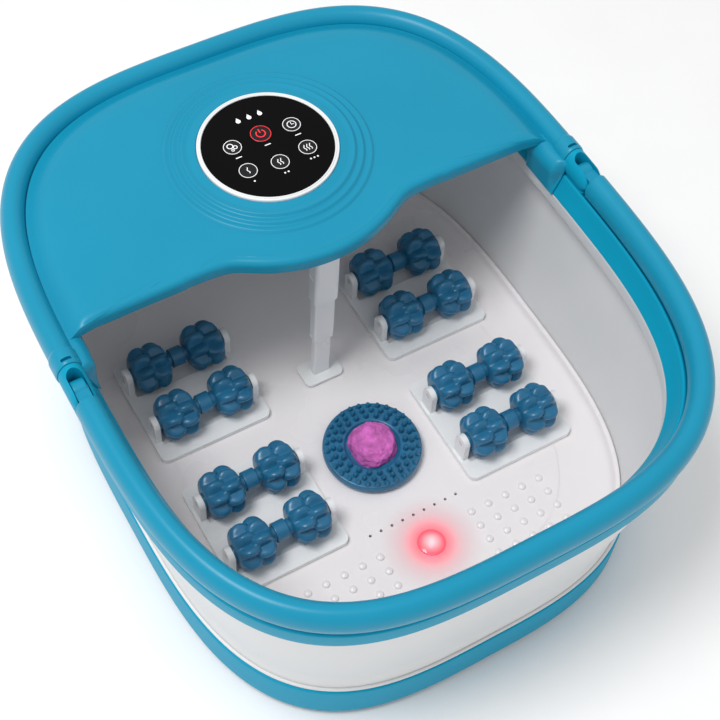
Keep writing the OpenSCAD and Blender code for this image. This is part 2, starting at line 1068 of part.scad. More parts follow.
base_shell();
bottom_cover();
rubber_feet();
base_screws();
floor_pan();
wall_clamp();
heater_plate();
temperature_probe();
air_pump();
pump_mounts();
air_hose();
air_channel();
power_board();
light_board();
light_lens();
cord_gland();
post_lower();
post_gasket();
soft_wall();
rim_frame();
wall_ring();
cover();
cover_liner();
cover_screws();
panel_bezel();
panel_lens();
control_board();
post_upper();
pivot_pins();
handle();
key_bubble();
key_power();
key_timer();
key_heat_low();
key_heat_mid();
key_heat_high();
post_middle();
brush_disc();
pumice_stone();
cassette_rear_left();
cassette_rear_right();
cassette_front_left();
cassette_front_right();
axles_rear_left();
axles_rear_right();
axles_front_left();
axles_front_right();
roller_rear_left_a();
roller_rear_left_b();
roller_rear_right_a();
roller_rear_right_b();
roller_front_left_a();
roller_front_left_b();
roller_front_right_a();
roller_front_right_b();
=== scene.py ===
"""Looks of the collapsible pedicure foot bath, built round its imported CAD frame.

Shapes are worked out in millimetres, in the same frame as the CAD, and become metres in mesh().
"""
from math import atan2, cos, pi, radians, sin, sqrt

import bmesh
import bpy
from mathutils import Matrix, Vector, noise
from mathutils.kdtree import KDTree


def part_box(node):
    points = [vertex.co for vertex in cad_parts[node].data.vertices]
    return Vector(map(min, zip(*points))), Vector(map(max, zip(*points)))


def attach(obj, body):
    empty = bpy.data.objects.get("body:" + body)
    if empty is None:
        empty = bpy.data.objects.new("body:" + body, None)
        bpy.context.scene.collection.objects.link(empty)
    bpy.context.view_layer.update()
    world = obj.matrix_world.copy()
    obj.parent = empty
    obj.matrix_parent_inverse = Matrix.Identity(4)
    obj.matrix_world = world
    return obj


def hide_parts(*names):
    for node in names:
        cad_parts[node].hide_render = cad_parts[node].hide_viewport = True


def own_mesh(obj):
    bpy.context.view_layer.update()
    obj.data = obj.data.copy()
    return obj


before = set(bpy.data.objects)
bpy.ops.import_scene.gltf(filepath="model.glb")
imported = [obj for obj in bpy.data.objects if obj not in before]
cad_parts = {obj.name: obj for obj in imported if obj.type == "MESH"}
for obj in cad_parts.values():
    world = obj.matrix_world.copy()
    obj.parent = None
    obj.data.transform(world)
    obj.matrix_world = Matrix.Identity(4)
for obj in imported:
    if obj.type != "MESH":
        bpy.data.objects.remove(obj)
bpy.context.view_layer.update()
MM = 0.001

# Plan outlines: half width, half length, and the power that makes them rounded squares
RIM = (179.5, 211.0)
BASE = (158.0, 191.75)
POWER = 3.25
STEPS = 288
TUBE_SIDES = 48
# Angle in degrees beyond which an edge is shaded as sharp
SHARP = 38.0

# Heights
FOOT_Z = 4.0
BAND_TOP = 36.5
WALL_LOW = 26.0
WALL_BEND = 150.0
WALL_TOP = 158.0
SKIRT_Z = 153.0
LEDGE_Z = 168.1
TUBE_Z = 179.0
COVER_Z = 190.0
FLOOR_Z = 39.0
FLOOR_T = 2.5
LIP_Z = 180.0
LENS_Z = 194.8

# Handle, cover and panel
TUBE = (7.7, 10.5)
PIVOT_Y = 2.3
TUBE_START = 11.8
FORK_R = 11.2
FORK_BACK = 12.3
ARM_Y = PIVOT_Y + 12.7
PANEL_Y = 102.3
FRONT_Y = 36.0
BULGE_R = 88.0
LENS_R = 41.2
PIVOT_X = RIM[0] - TUBE[0]

# Travel of the folding wall, and the row of air holes
COLLAPSE = 80.0
AIR_ROW_Y = -96.0


# ---- Plan outlines ----

def plan(half, angle, inset=0.0):
    """Point of a rounded-square outline in the direction of a polar angle."""
    wide, long = half[0] - inset, half[1] - inset
    c, s = cos(angle), sin(angle)
    r = (abs(c / wide) ** POWER + abs(s / long) ** POWER) ** (-1 / POWER)
    return Vector((r * c, r * s))


def inset_of(x, y):
    """How far in from the rim outline a point lies, by its family of outlines."""
    low, high = -2.0, RIM[0] - 1.0
    for _ in range(26):
        mid = (low + high) / 2
        if abs(x / (RIM[0] - mid)) ** POWER + abs(y / (RIM[1] - mid)) ** POWER > 1:
            high = mid
        else:
            low = mid
    return low


def rounded(points, radius, closed=True, steps=5):
    """The polyline with each corner cut back and replaced by a curve."""
    out = []
    count = len(points)
    for i, p in enumerate(points):
        if not closed and i in (0, count - 1):
            out.append(Vector(p))
            continue
        here = Vector(p[:2])
        r = p[2] if len(p) > 2 else radius
        before = Vector(points[i - 1][:2]) - here
        after = Vector(points[(i + 1) % count][:2]) - here
        start = here + before * min(0.48, r / max(before.length, 1e-6))
        end = here + after * min(0.48, r / max(after.length, 1e-6))
        for k in range(steps + 1):
            t = k / steps
            out.append(start * (1 - t) ** 2 + here * 2 * t * (1 - t) + end * t * t)
    return out


# ---- Meshes ----

def mesh(name, points, faces, sharp=SHARP):
    """A smooth-shaded object from points in millimetres."""
    data = bpy.data.meshes.new(name)
    data.from_pydata([[c * MM for c in p] for p in points], [], faces)
    tidy = bmesh.new()
    tidy.from_mesh(data)
    bmesh.ops.remove_doubles(tidy, verts=tidy.verts, dist=1e-6)
    bmesh.ops.recalc_face_normals(tidy, faces=tidy.faces)
    tidy.to_mesh(data)
    tidy.free()
    data.polygons.foreach_set("use_smooth", [True] * len(data.polygons))
    data.set_sharp_from_angle(angle=radians(sharp))
    thing = bpy.data.objects.new(name, data)
    bpy.context.scene.collection.objects.link(thing)
    return thing


def join(name, things):
    """One object from several meshes that share a material."""
    whole = bmesh.new()
    for thing in things:
        whole.from_mesh(thing.data)
    data = bpy.data.meshes.new(name)
    whole.to_mesh(data)
    whole.free()
    for thing in things:
        bpy.data.objects.remove(thing)
    data.set_sharp_from_angle(angle=radians(SHARP))
    out = bpy.data.objects.new(name, data)
    bpy.context.scene.collection.objects.link(out)
    return out


def finish_piece(thing, body, material, stands_for=()):
    """Material, body and the CAD nodes that the piece stands for."""
    thing.data.materials.clear()
    thing.data.materials.append(material)
    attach(thing, body)
    if stands_for:
        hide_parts(*stands_for)
    return thing


def strip(rings, closed_rings=True, closed_path=True):
    """Points and faces of a grid of rings."""
    rows, size = len(rings), len(rings[0])
    points = [p for r in rings for p in r]
    faces = []
    for i in range(rows if closed_path else rows - 1):
        for j in range(size if closed_rings else size - 1):
            a, b = i * size, ((i + 1) % rows) * size
            k = (j + 1) % size
            faces.append((a + j, b + j, b + k, a + k))
    return points, faces


def band(name, section, half=RIM):
    """Closed shell round an outline, whose section is a list of (inset, z)."""
    rings = []
    for i in range(STEPS):
        angle = 2 * pi * i / STEPS
        ring = []
        for inset, z in section:
            p = plan(half, angle, inset)
            ring.append((p.x, p.y, z))
        rings.append(ring)
    return mesh(name, *strip(rings))


def lathe(name, section, centre, steps=96, closed=True):
    """Body of revolution about an upright axis; the section is a list of (radius, z)."""
    rings = []
    for i in range(steps):
        c, s = cos(2 * pi * i / steps), sin(2 * pi * i / steps)
        rings.append([(centre[0] + r * c, centre[1] + r * s, z) for r, z in section])
    return mesh(name, *strip(rings, closed_rings=closed))


def cross_lathe(name, section, centre, steps=64):
    """Body of revolution about X; the section is a list of (x, radius)."""
    rings = []
    for i in range(steps):
        c, s = cos(2 * pi * i / steps), sin(2 * pi * i / steps)
        rings.append([(centre[0] + x, centre[1] + r * c, centre[2] + r * s) for x, r in section])
    return mesh(name, *strip(rings, closed_rings=False))


def ribbon(points, width, z, closed=False, lift=0.06):
    """Flat printed line of one width along plan points; its ends are cut square."""
    count = len(points)
    left, right = [], []
    for i, p in enumerate(points):
        a = points[(i - 1) % count] if closed or i else p
        b = points[(i + 1) % count] if closed or i < count - 1 else p
        d = Vector((b[0] - a[0], b[1] - a[1])).normalized()
        n = Vector((-d.y, d.x)) * width / 2
        left.append((p[0] + n.x, p[1] + n.y, z + lift))
        right.append((p[0] - n.x, p[1] - n.y, z + lift))
    rings = [[a, b] for a, b in zip(left, right)]
    return mesh("line", *strip(rings, closed_rings=False, closed_path=closed))


# ---- Materials ----

def material(name, colour, tint=0.06, rough=0.35, rough_spread=0.08, grain=900.0, bump=0.03,
             patch=14.0, **sockets):
    """Moulded surface: soft colour patches, uneven gloss and a fine grain."""
    m = bpy.data.materials.new(name)
    m.use_nodes = True
    nodes, links = m.node_tree.nodes, m.node_tree.links
    shader = nodes["Principled BSDF"]
    place = nodes.new("ShaderNodeTexCoord")

    patches = nodes.new("ShaderNodeTexNoise")
    patches.inputs["Scale"].default_value = patch
    patches.inputs["Detail"].default_value = 3.0
    links.new(place.outputs["Object"], patches.inputs["Vector"])
    colours = nodes.new("ShaderNodeValToRGB")
    colours.color_ramp.elements[0].position = 0.3
    colours.color_ramp.elements[1].position = 0.7
    colours.color_ramp.elements[0].color = [c * (1 - tint) for c in colour] + [1]
    colours.color_ramp.elements[1].color = [min(1, c * (1 + tint)) for c in colour] + [1]
    links.new(patches.outputs["Fac"], colours.inputs["Fac"])
    links.new(colours.outputs["Color"], shader.inputs["Base Color"])

    gloss = nodes.new("ShaderNodeMapRange")
    gloss.inputs["To Min"].default_value = max(0.02, rough - rough_spread)
    gloss.inputs["To Max"].default_value = rough + rough_spread
    links.new(patches.outputs["Fac"], gloss.inputs["Value"])
    links.new(gloss.outputs["Result"], shader.inputs["Roughness"])

    grains = nodes.new("ShaderNodeTexNoise")
    grains.inputs["Scale"].default_value = grain
    grains.inputs["Detail"].default_value = 2.0
    links.new(place.outputs["Object"], grains.inputs["Vector"])
    relief = nodes.new("ShaderNodeBump")
    relief.inputs["Strength"].default_value = bump
    relief.inputs["Distance"].default_value = 0.0004
    links.new(grains.outputs["Fac"], relief.inputs["Height"])
    links.new(relief.outputs["Normal"], shader.inputs["Normal"])
    for key, value in sockets.items():
        shader.inputs[key.replace("_", " ")].default_value = value
    return m


CYAN = material("cyan_plastic", (0.006, 0.285, 0.455), rough=0.34, bump=0.05, tint=0.025,
                Specular_IOR_Level=0.3)
CYAN_SKIRT = material("cyan_skirt", (0.004, 0.325, 0.51), rough=0.42, bump=0.05, tint=0.025,
                      Specular_IOR_Level=0.1)
WHITE = material("white_plastic", (0.86, 0.87, 0.875), rough=0.28, tint=0.015)
SOFT = material("soft_wall", (0.76, 0.765, 0.77), rough=0.42, tint=0.015, bump=0.08, grain=500)
GREY = material("grey_plastic", (0.66, 0.68, 0.69), rough=0.38, tint=0.02)
BLUE = material("roller_blue", (0.017, 0.15, 0.29), rough=0.3, tint=0.12, patch=60)
MAGENTA = material("pumice", (0.62, 0.14, 0.49), rough=0.8, tint=0.3, patch=160, grain=380,
                   bump=0.9)
BLACK = material("lens_black", (0.0025, 0.0025, 0.003), rough=0.12, rough_spread=0.03, bump=0.01,
                 Specular_IOR_Level=0.08)
KEY = material("key_black", (0.012, 0.0125, 0.014), rough=0.16, rough_spread=0.04, bump=0.01,
               Specular_IOR_Level=0.25)
RUBBER = material("black_rubber", (0.03, 0.032, 0.035), rough=0.7, bump=0.2)
DARK = material("dark_plastic", (0.03, 0.03, 0.033), rough=0.5, bump=0.1)
STEEL = material("steel", (0.6, 0.61, 0.62), rough=0.32, Metallic=1.0, grain=300)
ALUMINIUM = material("aluminium", (0.68, 0.69, 0.7), rough=0.4, Metallic=1.0, grain=300)
BOARD = material("circuit_board", (0.02, 0.16, 0.055), rough=0.4, tint=0.2, patch=90)
HOSE = material("clear_hose", (0.72, 0.75, 0.77), rough=0.3, Transmission_Weight=0.35)
# Print colours with a faint painted glow from emission, so the marks read brighter than the lamps
# make them
WHITE_PRINT_PAINTED_GLOW = material("white_print_painted_glow", (0.85, 0.85, 0.86), rough=0.4, Emission_Strength=0.25,
                 Emission_Color=(0.9, 0.92, 0.95, 1))
RED_PRINT_PAINTED_GLOW = material("red_print_painted_glow", (0.75, 0.02, 0.03), rough=0.4, Emission_Strength=0.5,
                     Emission_Color=(0.9, 0.03, 0.05, 1))
GLOW = material("red_lens", (0.9, 0.06, 0.07), rough=0.15, Emission_Strength=1.0)
# White floor plastic; floor_light() paints a pool of red glow into its colour round the light
TUB_FLOOR_PAINTED_GLOW = material("tub_floor_painted_glow", (0.86, 0.87, 0.875), rough=0.28, tint=0.015)


def shade_by_distance(m, centre, stops, socket):
    """Colour by the distance from a point, multiplied into a socket's colour or put in its place."""
    nodes, links = m.node_tree.nodes, m.node_tree.links
    place = nodes.new("ShaderNodeTexCoord")
    away = nodes.new("ShaderNodeVectorMath")
    away.operation = "DISTANCE"
    away.inputs[1].default_value = [c * MM for c in centre]
    links.new(place.outputs["Object"], away.inputs[0])
    share = nodes.new("ShaderNodeMath")
    share.operation = "DIVIDE"
    share.inputs[1].default_value = stops[-1][0] * MM
    links.new(away.outputs["Value"], share.inputs[0])
    ramp = nodes.new("ShaderNodeValToRGB")
    ramp.color_ramp.interpolation = "B_SPLINE"
    while len(ramp.color_ramp.elements) < len(stops):
        ramp.color_ramp.elements.new(0.5)
    for element, (distance, colour) in zip(ramp.color_ramp.elements, stops):
        element.position = distance / stops[-1][0]
        element.color = (*colour, 1)
    links.new(share.outputs["Value"], ramp.inputs["Fac"])
    target = nodes["Principled BSDF"].inputs[socket]
    if not target.is_linked:
        links.new(ramp.outputs["Color"], target)
        return
    mix = nodes.new("ShaderNodeMix")
    mix.data_type = "RGBA"
    mix.blend_type = "MULTIPLY"
    mix.inputs["Factor"].default_value = 1.0
    links.new(target.links[0].from_socket, mix.inputs["A"])
    links.new(ramp.outputs["Color"], mix.inputs["B"])
    links.new(mix.outputs["Result"], target)


# ---- Base and wall ----

def base_band():
    """Skirt of the base with its rolled lip and the channel for the wall."""
    section = rounded([
        (1.6, FOOT_Z, 1.0), (0.2, FOOT_Z + 2.6, 2.0), (0.0, BAND_TOP - 0.9, 1.4),
        (0.5, BAND_TOP, 0.5), (2.1, BAND_TOP, 0.4), (2.5, BAND_TOP - 1, 0.4),
        (2.5, 25.6, 0.3), (6.2, 25.6, 0.3), (6.2, 36.4, 0.3), (8.6, 36.4, 0.3), (8.6, 22.6, 0.3),
        (2.5, 22.6, 0.5), (2.5, FOOT_Z, 0.5)
    ], 0.6)
    shell = band("base_band", section, BASE)
    finish_piece(shell, "base", CYAN_SKIRT, ["base_shell"])


def flexible_wall():
    """Soft wall from its channel in the base to its fold under the rim."""
    top = (RIM[0] - 7.0, RIM[1] - 7.0)
    foot = (BASE[0] - 2.9, BASE[1] - 2.9)
    span = WALL_TOP - WALL_LOW
    keep = (span - COLLAPSE) / span
    # The wall stands upright to the height that folds down behind the lip of the base band
    upright = WALL_LOW + (BAND_TOP + 0.6 - WALL_LOW) / keep
    rows = [(0.0, WALL_LOW), (0.0, BAND_TOP - 2)]
    for i in range(25):
        z = BAND_TOP + (WALL_BEND - BAND_TOP) * i / 24
        rise = (z - upright) / (WALL_BEND - upright)
        t = (rise + sqrt(rise * rise + 0.0009)) / 2
        rows.append((t + 0.035 * sin(pi * t), z))
    rows.append((1.0, WALL_TOP))
    outer = [(w, z, 0.0) for w, z in rows]
    inner = [(w, z, 2.5 + 0.5 * w) for w, z in reversed(rows)]
    rings = []
    for i in range(STEPS):
        angle = 2 * pi * i / STEPS
        ring = []
        for w, z, inward in outer + inner:
            half = [f + (t - f) * w - inward for f, t in zip(foot, top)]
            p = plan(half, angle)
            ring.append((p.x, p.y, z))
        rings.append(ring)
    wall = mesh("flexible_wall", *strip(rings))
    finish_piece(wall, "base", SOFT, ["soft_wall"])
    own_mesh(wall)


def wall_piping():
    """Thin soft cord that closes the joint between the wall and the base band."""
    section = [
        (2.0 + 1.05 * cos(2 * pi * k / 16), BAND_TOP + 1.1 + 1.05 * sin(2 * pi * k / 16))
        for k in range(16)
    ]
    finish_piece(band("wall_piping", section, BASE), "base", SOFT)


def upright_prism(outline, z0, z1):
    """Points and faces of a closed outline drawn up from z0 to z1."""
    count = len(outline)
    points = [(x, y, z) for z in (z0, z1) for x, y in outline]
    sides = [(i, (i + 1) % count, count + (i + 1) % count, count + i) for i in range(count)]
    ends = [tuple(range(count - 1, -1, -1)), tuple(range(count, 2 * count))]
    return points, sides + ends


def round_rect(x, y, w, d, r, steps=8):
    """Outline of a rectangle with rounded corners."""
    out = []
    for cx, cy, a0 in ((1, 1, 0), (-1, 1, 90), (-1, -1, 180), (1, -1, 270)):
        for k in range(steps + 1):
            a = radians(a0 + 90 * k / steps)
            out.append((x + cx * (w / 2 - r) + r * cos(a), y + cy * (d / 2 - r) + r * sin(a)))
    return out


def circle(x, y, r, steps=32):
    """Outline of a circle."""
    angles = [2 * pi * i / steps for i in range(steps)]
    return [(x + r * cos(a), y + r * sin(a)) for a in angles]


def cut(thing, outlines, z0, z1):
    """Cuts upright holes through a mesh."""
    points, faces = [], []
    for outline in outlines:
        p, f = upright_prism(outline, z0, z1)
        faces += [tuple(i + len(points) for i in face) for face in f]
        points += p
    tool = mesh("cutter", points, faces)
    tool.hide_render = True
    hole = thing.modifiers.new("holes", "BOOLEAN")
    hole.operation = "DIFFERENCE"
    hole.solver = "EXACT"
    hole.object = tool
    graph = bpy.context.evaluated_depsgraph_get()
    done = bpy.data.meshes.new_from_object(thing.evaluated_get(graph))
    thing.modifiers.clear()
    thing.data = done
    thing.data.set_sharp_from_angle(angle=radians(SHARP))
    bpy.data.objects.remove(tool)
    return thing


def middle(node):
    """Middle of a CAD node's box, in millimetres."""
    low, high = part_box(node)
    return (Vector(low) + Vector(high)) / 2 / MM


TRAYS = [f"{row}_{side}" for row in ("rear", "front") for side in ("left", "right")]
DISC = middle("brush_disc")
LIGHT = middle("light_lens")
PROBE = middle("temperature_probe")


def tub_floor():
    """Floor with a rounded foot, nubs and air holes."""
    side = rounded([
        (6.2, FLOOR_Z - FLOOR_T, 0.3), (5.7, 46.9, 0.3), (6.4, 47.4, 0.4), (8.6, 46.8, 0.8),
        (10.2, 43.0, 3.0), (20.0, FLOOR_Z, 8.0)
    ], 1.0, closed=False)
    rows = [(r.x, r.y) for r in side] + [(40.0, FLOOR_Z), (40.0, FLOOR_Z - FLOOR_T)]
    rim = band("floor_side", rows, BASE)
    plate = [tuple(plan(BASE, 2 * pi * i / 180, 39.9)) for i in range(180)]
    flat = mesh("floor_plate", *upright_prism(plate, FLOOR_Z - FLOOR_T, FLOOR_Z))
    holes = [circle(LIGHT.x, LIGHT.y, 9.1), circle(PROBE.x, PROBE.y, 3.05, 20)]
    for i in range(-4, 5):
        holes.append(circle(8 * i, AIR_ROW_Y, 1.0, 12))
    cut(flat, holes, FLOOR_Z - 8, FLOOR_Z + 5)
    parts = [rim, flat]
    for side_x in (-1, 1):
        for row in range(4):
            for i in range(5):
                nub = rounded([
                    (2.7, FLOOR_Z - 1), (2.5, FLOOR_Z + 1.4, 1.0), (0.01, FLOOR_Z + 2.2)
                ], 1.0, closed=False)
                spot = (side_x * (34 + 13 * i), -112 - 11 * row)
                parts.append(lathe("nub", nub, spot, 20, closed=False))
    floor = join("tub_floor", parts)
    finish_piece(floor, "base", TUB_FLOOR_PAINTED_GLOW, ["floor_pan", "wall_clamp"])


# ---- Rim ----

def rim_parts():
    """Rim with the trough that the handle rests in and the slope inside it, and the ring below."""
    frame_section = rounded([
        (3.5, SKIRT_Z, 0.6), (2.6, LEDGE_Z - 1.2, 1.0), (3.6, LEDGE_Z - 0.1, 0.6),
        (10.9, LEDGE_Z - 0.1, 1.4), (14.3, 172.2, 0.9), (15.7, 171.9, 1.5), (18.4, 163.6, 5.0),
        (21.4, 157.2, 0.8), (20.8, 156.5, 0.5), (18.5, 156.5, 0.4), (15.6, 163.6, 3.0),
        (12.4, LEDGE_Z - 2.2, 1.2), (5.2, LEDGE_Z - 2.4, 0.8), (6.0, SKIRT_Z, 0.5)
    ], 0.8)
    parts = [band("rim_band", frame_section)]
    for side in (-1, 1):
        parts.append(fork(side))
    finish_piece(join("rim_with_forks", parts), "rim", CYAN_SKIRT, ["rim_frame"])
    ring_section = rounded([
        (18.8, 156.4, 0.4), (21.2, 156.0, 0.6), (21.5, 146.5, 2.0), (16.7, 140.6, 1.2),
        (16.0, 142.0, 0.6), (12.9, 150.0, 0.4), (13.8, 150.0, 0.4), (18.6, 147.5, 1.0)
    ], 0.6)
    ring = band("inner_ring", ring_section)
    finish_piece(ring, "rim", GREY, ["wall_ring"])


def fork(side):
    """End of the rim tube with a D-shaped pocket that the handle's lug turns in."""
    x = side * PIVOT_X
    rings = []
    spots = [-FORK_R + FORK_R * (1 - cos(pi / 2 * k / 12)) for k in range(13)]
    spots += [FORK_BACK * k / 6 for k in range(1, 7)]
    for d in spots:
        tall = TUBE[1]
        if d < 0:
            tall = min(tall, sqrt(max(0.0, FORK_R ** 2 - d * d)) + 0.05)
        wide = TUBE[0] * min(1.0, 0.72 + 0.28 * tall / TUBE[1])
        rings.append([
            (x + wide * cos(2 * pi * k / TUBE_SIDES), PIVOT_Y + d,
             TUBE_Z + tall * sin(2 * pi * k / TUBE_SIDES))
            for k in range(TUBE_SIDES)
        ])
    points, faces = strip(rings, closed_path=False)
    faces += [tuple(range(TUBE_SIDES)), tuple(range(len(points) - TUBE_SIDES, len(points)))]
    bar = mesh("fork", points, faces)
    half, front, back = 4.8, PIVOT_Y - 14, PIVOT_Y + 4.6
    pocket = [(x + half, front), (x + half, back)]
    pocket += [(x + half * cos(pi * k / 16), back + half * sin(pi * k / 16)) for k in range(1, 16)]
    pocket += [(x - half, back), (x - half, front)]
    cut(bar, [pocket], 171.4, 200)
    saddle = round_rect(x, PIVOT_Y + 1.5, 12.4, 20.0, 1.5, 4)
    base = mesh("saddle", *upright_prism(saddle, LEDGE_Z - 1, 171.6))
    return join("fork", [bar, base])


def tube_point(angle, b, scale, swell=0.0):
    """Point on the skin of the bead that runs round the rim, b round its section."""
    c = plan(RIM, angle, TUBE[0])
    d = plan(RIM, angle + 0.002, TUBE[0]) - plan(RIM, angle - 0.002, TUBE[0])
    out = Vector((d.y, -d.x)).normalized()
    side = out * cos(b) * (TUBE[0] + swell) * scale
    return (c.x + side.x, c.y + side.y, TUBE_Z + sin(b) * (TUBE[1] + swell) * scale)


def angle_at(y, inset=TUBE[0]):
    """Polar angle, on the right side, at which the bead's middle line reaches y."""
    long = RIM[1] - inset
    wide = RIM[0] - inset
    x = wide * (1 - abs(y / long) ** POWER) ** (1 / POWER)
    return atan2(y, x)


def handle():
    """U-shaped tube with eased ends, and the lugs that turn on the pivot pins."""
    tip = PIVOT_Y - TUBE_START
    ends = [(0.0, 0.93), (0.15, 0.965), (0.45, 0.99), (0.9, 1.0)]
    stops = [(pi - angle_at(tip - back), scale) for back, scale in ends]
    first = stops[-1][0]
    span = 3 * pi - 2 * first
    stops += [(first + span * i / 240, 1.0) for i in range(1, 240)]
    stops += [(2 * pi + angle_at(tip - back), scale) for back, scale in reversed(ends)]
    rings = [
        [tube_point(angle, 2 * pi * k / TUBE_SIDES, scale) for k in range(TUBE_SIDES)]
        for angle, scale in stops
    ]
    points, faces = strip(rings, closed_path=False)
    faces += [tuple(range(TUBE_SIDES)), tuple(range(len(points) - TUBE_SIDES, len(points)))]
    parts = [mesh("handle_tube", points, faces, 50)]
    for side in (-1, 1):
        lug = rounded([(-4.2, 3.1), (-4.2, 6.6, 1.0), (4.2, 6.6, 1.0), (4.2, 3.1)], 0.8,
                      closed=False)
        parts.append(cross_lathe("lug", lug, (side * PIVOT_X, PIVOT_Y, TUBE_Z)))
        neck = round_rect(side * PIVOT_X, PIVOT_Y - 8.6, 8.4, 11.2, 1.0, 4)
        parts.append(mesh("neck", *upright_prism(neck, TUBE_Z - 5.4, TUBE_Z + 5.4)))
    finish_piece(join("carry_handle", parts), "handle_body", CYAN, ["handle"])


# ---- Cover ----

# Inset of the cheeks ahead of the front lip, and radius of the corners that lead into them
CHEEK = 24.0
LIP_TURN = 8.0


def front_edge(x):
    """Front edge of the cover in plan: straight, with a round bulge in front of the panel."""
    past = abs(x) - (RIM[0] - CHEEK - LIP_TURN)
    flat = FRONT_Y
    if past > 0:
        flat -= LIP_TURN - sqrt(max(0.0, LIP_TURN ** 2 - min(past, LIP_TURN) ** 2))
    if abs(x) >= BULGE_R:
        return flat
    bulge = PANEL_Y - sqrt(BULGE_R ** 2 - x * x)
    # The two are blended so that the inner corners are rounded
    soft = 7.0
    d = flat - bulge
    return flat - (d + sqrt(d * d + soft * soft)) / 2 + soft * 0.1


# Profile of the cover's top, as distance in from the rim outline and height
TOP = [
    (14.9, COVER_Z - 7.5), (16.0, COVER_Z - 7.2), (17.6, COVER_Z - 6.4), (19.6, COVER_Z - 5.1),
    (21.5, COVER_Z - 3.8), (24.0, COVER_Z - 2.2), (27.0, COVER_Z - 1.0), (31.0, COVER_Z - 0.3),
    (36.0, COVER_Z), (60.0, COVER_Z + 0.2), (174.0, COVER_Z + 0.3)
]


def top_height(inset):
    """Height of the cover's dished top by its distance in from the rim outline."""
    if inset <= TOP[0][0]:
        return TOP[0][1]
    for (a, za), (b, zb) in zip(TOP, TOP[1:]):
        if inset <= b:
            return za + (zb - za) * (inset - a) / (b - a)
    return TOP[-1][1]


def lip_drop(distance, radius=4.2):
    """Drop of the top near its front edge: a rounded edge with a faint raised line behind it."""
    if distance < radius:
        return radius - sqrt(max(0.0, radius ** 2 - (radius - distance) ** 2))
    return -0.4 * max(0.0, 1 - abs(distance - 5.3) / 0.9)


def edge_tree(gap=0.05, count=3400):
    """Search tree over closely spaced points of the front edge."""
    points = []
    for i in range(-count, count + 1):
        x = i * gap
        y, ahead = front_edge(x), front_edge(x + gap)
        steps = max(1, int(abs(ahead - y) / gap))
        points += [(x + gap * k / steps, y + (ahead - y) * k / steps, 0.0) for k in range(steps)]
    tree = KDTree(len(points))
    for i, point in enumerate(points):
        tree.insert(point, i)
    tree.balance()
    return tree


# Distances back from the edge, along each ray, at which the cover's top has its points
LIP_LEVELS = (0, 0.12, 0.4, 0.85, 1.5, 2.3, 3.2, 4.1, 4.7, 5.3, 5.9, 6.6, 8, 12, 17, 24, 33)
BEAD_LEVELS = (0, 0.5, 1.1, 1.8, 2.7, 3.8, 5.0, 6.4, 8, 9.8, 12, 15, 19, 24, 30, 36, 42)


def cover_top():
    """Dished top of the cover with its front lip, from rays round a point behind the front."""
    centre = Vector((0.0, 66.0))
    inner = TOP[0][0]
    corner_y = FRONT_Y - LIP_TURN
    corner_x = (RIM[0] - inner) * (1 - abs(corner_y / (RIM[1] - inner)) ** POWER) ** (1 / POWER)
    corner = atan2(corner_y - centre.y, corner_x - centre.x)
    rays = 560
    tree = edge_tree()
    angles = sorted(
        [corner + (pi - 2 * corner) * i / rays for i in range(rays + 1)]
        + [pi - corner + (pi + 2 * corner) * i / rays for i in range(1, rays)]
    )
    rings = []
    for angle in angles:
        d = Vector((cos(angle), sin(angle)))
        low, high = 1.0, 300.0
        for _ in range(40):
            mid = (low + high) / 2
            p = centre + d * mid
            inside = inset_of(p.x, p.y) > inner and p.y > front_edge(p.x)
            low, high = (mid, high) if inside else (low, mid)
        reach = low
        at_front = not (corner - 1e-6 <= angle <= pi - corner + 1e-6)
        levels = LIP_LEVELS if at_front else BEAD_LEVELS
        ring = []
        edge = centre + d * reach
        if at_front:
            ring.append((edge.x, edge.y + 2.4, LIP_Z))
            ring.append((edge.x, edge.y + 0.9, LIP_Z))
            ring.append((edge.x, edge.y + 0.25, LIP_Z + 0.5))
        else:
            ring += [(edge.x, edge.y, COVER_Z - 9 - k * 0.2) for k in (2, 1, 0)]
        rest = reach
        for level in levels:
            rest = max(2.0, reach - level)
            p = centre + d * rest
            drop = lip_drop(tree.find((p.x, p.y, 0.0))[2])
            ring.append((p.x, p.y, top_height(inset_of(p.x, p.y)) - drop))
        for k in range(1, 9):
            p = centre + d * (rest * (1 - k / 8) + 0.5)
            ring.append((p.x, p.y, top_height(inset_of(p.x, p.y))))
        rings.append(ring)
    points, faces = strip(rings, closed_rings=False)
    size = len(rings[0])
    faces.append(tuple(i * size + size - 1 for i in range(len(rings))))
    return mesh("cover_top", points, faces, 30)


def cover_bead():
    """Round bead along the edge of the cover, with thicker sleeves at its two ends."""
    start = angle_at(ARM_Y)
    end = pi - start
    stops = [start + (end - start) * i / 300 for i in range(301)]
    for extra in (0.25, 0.6, 1.1, 1.8, 11.0, 11.6, 12.2, 13.0):
        stops.append(angle_at(ARM_Y + extra))
        stops.append(pi - angle_at(ARM_Y + extra))
    rings = []
    for angle in sorted(set(stops)):
        y = plan(RIM, angle, TUBE[0]).y - ARM_Y
        swell = 0.0 if y > 13 else 0.8 * (1 - max(0.0, y - 11) / 2)
        scale = 1.0 if y > 1.7 else 0.94 + 0.06 * sqrt(max(0.0, y) / 1.7)
        rings.append([
            tube_point(angle, 2 * pi * k / TUBE_SIDES, scale, swell) for k in range(TUBE_SIDES)
        ])
    points, faces = strip(rings, closed_path=False)
    faces += [tuple(range(TUBE_SIDES)), tuple(range(len(points) - TUBE_SIDES, len(points)))]
    bead = mesh("cover_bead", points, faces, 40)
    # Small notches in the tops of the two sleeves
    notches = [round_rect(side * PIVOT_X, ARM_Y + 3.2, 6.4, 2.2, 0.7, 3) for side in (-1, 1)]
    return cut(bead, notches, TUBE_Z + 8.6, 200)


